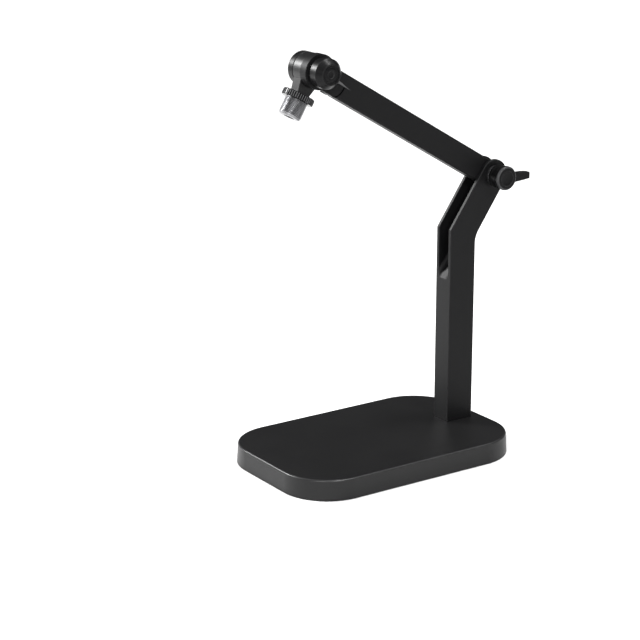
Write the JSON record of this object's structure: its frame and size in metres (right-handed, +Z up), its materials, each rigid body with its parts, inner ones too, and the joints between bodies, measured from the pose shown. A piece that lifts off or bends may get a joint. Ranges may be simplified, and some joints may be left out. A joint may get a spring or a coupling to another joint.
{
  "type": "boom microphone stand",
  "caption": "Desk microphone stand: rounded weighted base, upright riser with a forked leaning top, a straight folding arm and a tilting threaded mount.",
  "frame": {"origin": "centre of the base's underside, on the table", "axes": "+Z up; +X from the microphone end towards the riser, along the base's length; -Y towards the clamp knobs"},
  "size_m": [0.2079, 0.1192, 0.2882],
  "materials": {
    "powder_coat": "satin black powder coat with a fine grain",
    "rubber": "matte black rubber",
    "ballast": "rough as cast, oiled",
    "zinc_steel": "bright zinc plate",
    "black_steel": "black oxide, semi-gloss",
    "friction_fibre": "matte fibre",
    "knob_black": "semi-gloss turned black",
    "moulded_black": "satin moulded black",
    "brass": "turned",
    "bearing": "waxy bearing plastic",
    "stud_steel": "dark nickel plate"
  },
  "bodies": {
    "stand": {"base_cover": "powder_coat", "base_weight": "ballast", "base_pad": "rubber", "base_screws": "zinc_steel", "riser_clamp_plate": "zinc_steel", "riser_bolts": "zinc_steel", "riser": "powder_coat", "elbow_bolt": "black_steel", "elbow_friction_discs": "friction_fibre", "elbow_washer": "black_steel", "elbow_disc_spring": "zinc_steel"},
    "elbow_clamp": {"elbow_knob": "knob_black", "elbow_knob_insert": "brass", "elbow_knob_cap": "moulded_black"},
    "arm": {"elbow_bushing": "bearing", "arm_bar": "powder_coat", "arm_end_insert": "moulded_black", "arm_insert_screw": "zinc_steel", "tilt_bolt": "black_steel", "tilt_friction_discs": "friction_fibre", "tilt_end_cap": "knob_black", "tilt_washer": "black_steel", "tilt_disc_spring": "zinc_steel"},
    "tilt_clamp": {"tilt_knob": "knob_black", "tilt_knob_insert": "brass", "tilt_knob_cap": "moulded_black"},
    "head": {"mic_lug": "powder_coat", "tilt_bushing": "bearing", "mic_stud": "stud_steel"},
    "lock_ring": {"lock_ring": "knob_black"}
  },
  "joints": [
    {"name": "elbow_pitch", "type": "hinge", "parent": "stand", "child": "arm", "pos_m": [0.0969, 0, 0.1901], "axis": [0, 1, 0], "range_deg": [-84, 90]},
    {"name": "elbow_clamp_turn", "type": "hinge", "parent": "stand", "child": "elbow_clamp", "pos_m": [0.0969, 0, 0.1901], "axis": [0, -1, 0], "range_deg": [0, 270]},
    {"name": "head_tilt", "type": "hinge", "parent": "arm", "child": "head", "pos_m": [-0.04908, 0, 0.27643], "axis": [0, 1, 0], "range_deg": [-30, 180]},
    {"name": "tilt_clamp_turn", "type": "hinge", "parent": "arm", "child": "tilt_clamp", "pos_m": [-0.04908, 0, 0.27643], "axis": [0, -1, 0], "range_deg": [0, 270]},
    {"name": "lock_ring_turn", "type": "hinge", "parent": "head", "child": "lock_ring", "pos_m": [-0.05911, 0.00415, 0.25948], "axis": [-0.509, 0, -0.8607], "range_deg": [0, 360]}
  ]
}
